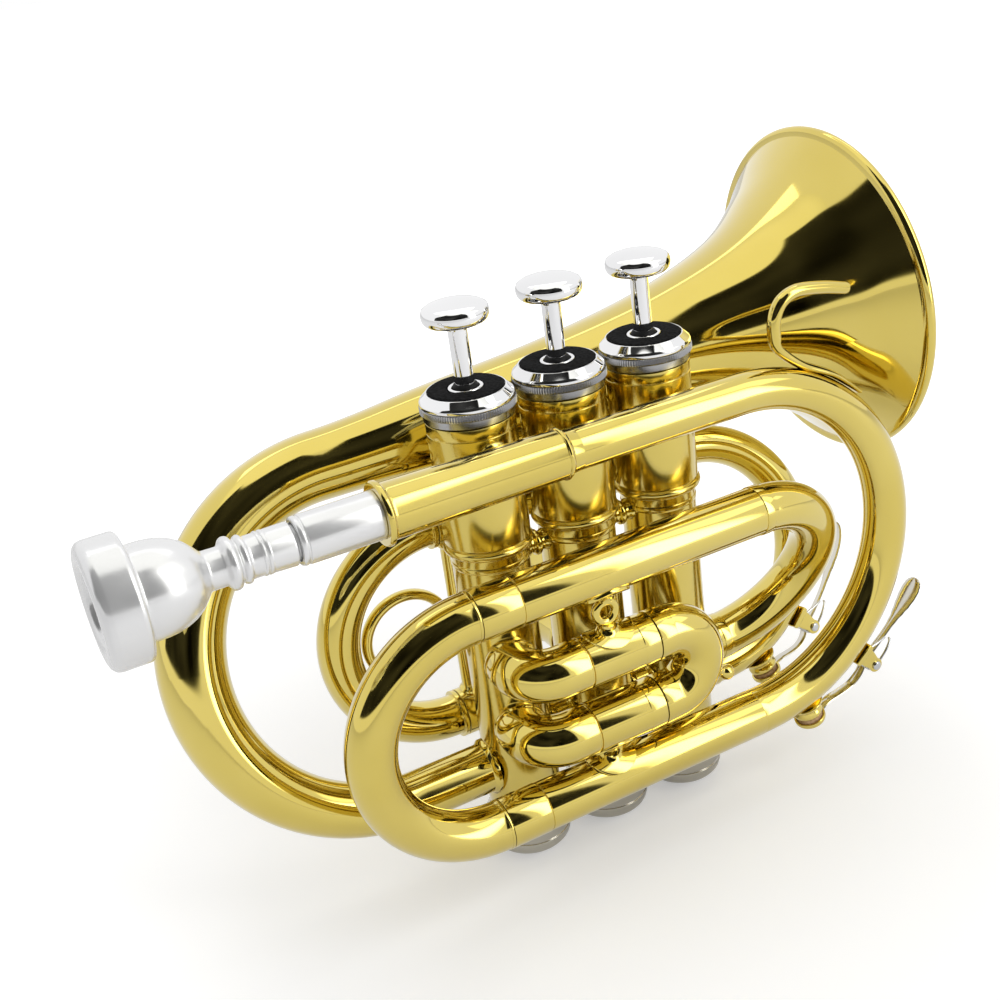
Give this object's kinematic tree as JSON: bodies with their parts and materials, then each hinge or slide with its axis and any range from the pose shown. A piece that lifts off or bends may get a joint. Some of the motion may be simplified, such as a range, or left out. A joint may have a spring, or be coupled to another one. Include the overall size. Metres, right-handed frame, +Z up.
{
  "type": "pocket trumpet",
  "caption": "Compact trumpet in lacquered brass with folded tubing, three piston valves, pull-out slides, water keys, flared bell and cup mouthpiece.",
  "frame": {"origin": "on the middle valve's axis, where the left hand grips the casings", "axes": "+X along the bell towards its mouth, +Y to the player's left, +Z up along the valves"},
  "size_m": [0.2215, 0.101, 0.1635],
  "materials": {
    "lacquered_brass": "polished, clear gold lacquer",
    "silver_plate": "polished silver plate",
    "chrome": "polished",
    "nickel_silver": "satin",
    "spring_steel": "bright drawn",
    "felt": "matte",
    "cork": "matte, fine grained"
  },
  "bodies": {
    "horn": {"valve_casing_1": "lacquered_brass", "valve_spring_1": "spring_steel", "top_cap_1": "chrome", "cap_felt_1": "felt", "bottom_cap_1": "nickel_silver", "valve_casing_2": "lacquered_brass", "valve_spring_2": "spring_steel", "top_cap_2": "chrome", "cap_felt_2": "felt", "bottom_cap_2": "nickel_silver", "valve_casing_3": "lacquered_brass", "valve_spring_3": "spring_steel", "top_cap_3": "chrome", "cap_felt_3": "felt", "bottom_cap_3": "nickel_silver", "mouthpiece_receiver": "silver_plate", "leadpipe_sleeve": "lacquered_brass", "leadpipe_bow": "lacquered_brass", "lower_main_tube": "lacquered_brass", "upper_main_tube": "lacquered_brass", "return_bow": "lacquered_brass", "first_slide_upper_tube": "lacquered_brass", "first_slide_lower_tube": "lacquered_brass", "second_slide_upper_tube": "lacquered_brass", "second_slide_lower_tube": "lacquered_brass", "third_slide_upper_tube": "lacquered_brass", "third_slide_lower_tube": "lacquered_brass", "third_slide_stay": "lacquered_brass", "bell": "lacquered_brass", "slide_stay_upper": "lacquered_brass", "slide_stay_lower": "lacquered_brass", "leadpipe_stay": "lacquered_brass", "bell_stay": "lacquered_brass", "pinky_hook": "lacquered_brass", "main_water_key_saddle": "lacquered_brass", "main_water_key_spring": "spring_steel", "main_water_key_nipple": "lacquered_brass", "third_water_key_saddle": "lacquered_brass", "third_water_key_spring": "spring_steel", "third_water_key_nipple": "lacquered_brass"},
    "mouthpiece": {"mouthpiece": "silver_plate"},
    "main_slide": {"main_slide_crook": "lacquered_brass"},
    "first_slide": {"first_slide_crook": "lacquered_brass", "first_slide_knob": "lacquered_brass"},
    "second_slide": {"second_slide_crook": "lacquered_brass"},
    "third_slide": {"third_slide_crook": "lacquered_brass", "third_slide_ring": "lacquered_brass"},
    "valve_1": {"valve_piston_1": "nickel_silver", "valve_stem_1": "chrome", "finger_button_1": "chrome"},
    "valve_2": {"valve_piston_2": "nickel_silver", "valve_stem_2": "chrome", "finger_button_2": "chrome"},
    "valve_3": {"valve_piston_3": "nickel_silver", "valve_stem_3": "chrome", "finger_button_3": "chrome"},
    "main_water_key": {"main_water_key_lever": "nickel_silver", "main_water_key_cork": "cork"},
    "third_water_key": {"third_water_key_lever": "nickel_silver", "third_water_key_cork": "cork"}
  },
  "joints": [
    {"name": "mouthpiece_pull", "type": "slide", "parent": "horn", "child": "mouthpiece", "axis": [-1, 0, 0], "range_m": [0, 0.022]},
    {"name": "main_slide_pull", "type": "slide", "parent": "horn", "child": "main_slide", "axis": [-1, 0, 0], "range_m": [0, 0.035]},
    {"name": "first_slide_pull", "type": "slide", "parent": "horn", "child": "first_slide", "axis": [1, 0, 0], "range_m": [0, 0.015]},
    {"name": "second_slide_pull", "type": "slide", "parent": "horn", "child": "second_slide", "axis": [0, 1, 0], "range_m": [0, 0.007]},
    {"name": "third_slide_pull", "type": "slide", "parent": "horn", "child": "third_slide", "axis": [-1, 0, 0], "range_m": [0, 0.018]},
    {"name": "valve_1_press", "type": "slide", "parent": "horn", "child": "valve_1", "axis": [0, 0, -1], "range_m": [0, 0.014], "stiffness_N_per_m": 80, "springref_m": -0.035, "deforming": ["valve_spring_1"]},
    {"name": "valve_2_press", "type": "slide", "parent": "horn", "child": "valve_2", "axis": [0, 0, -1], "range_m": [0, 0.014], "stiffness_N_per_m": 80, "springref_m": -0.035, "deforming": ["valve_spring_2"]},
    {"name": "valve_3_press", "type": "slide", "parent": "horn", "child": "valve_3", "axis": [0, 0, -1], "range_m": [0, 0.014], "stiffness_N_per_m": 80, "springref_m": -0.035, "deforming": ["valve_spring_3"]},
    {"name": "main_water_key_press", "type": "hinge", "parent": "horn", "child": "main_water_key", "pos_m": [0.07387, -0.02048, -0.04293], "axis": [0, -0.9999, 0.0168], "range_deg": [0, 14], "stiffness_Nm_per_rad": 0.05, "springref_deg": -22.92},
    {"name": "third_water_key_press", "type": "hinge", "parent": "horn", "child": "third_water_key", "pos_m": [0.07304, 0.00413, -0.0424], "axis": [0, -0.977, 0.2132], "range_deg": [0, 14], "stiffness_Nm_per_rad": 0.05, "springref_deg": -22.92}
  ]
}
